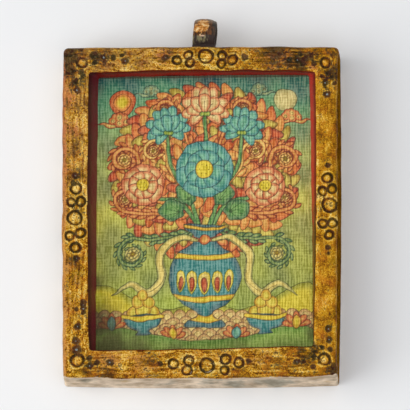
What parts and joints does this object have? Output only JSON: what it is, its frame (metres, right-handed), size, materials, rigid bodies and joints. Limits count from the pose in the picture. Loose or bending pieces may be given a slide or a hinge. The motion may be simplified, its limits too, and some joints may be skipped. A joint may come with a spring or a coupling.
{
  "type": "miniature thangka painting on cloth in a small hanging frame",
  "caption": "Miniature painting on cotton cloth, set in a hand-modelled gilt box frame with ring-stamped ornament and a hanging ring on top.",
  "frame": {"origin": "the middle of the frame's flat back, which lies on the surface", "axes": "+Z out of the painting, +Y up the painting to the hanging ring, +X to the painting's right as it is looked at"},
  "size_m": [0.0508, 0.068, 0.012],
  "materials": {
    "gilt_wood": "ochre-gold paint over orange-red ground, rubbed along the rails, brown-black patina in grooves and corners",
    "painted_cotton": "plain-weave cotton with matt distemper colours, teal to pale green to olive, aged and stained",
    "worn_brass": "golden where rubbed, dark brown to grey-green patina elsewhere"
  },
  "bodies": {
    "root": {"frame": "gilt_wood", "canvas": "painted_cotton", "hanging_ring": "worn_brass"}
  },
  "joints": []
}
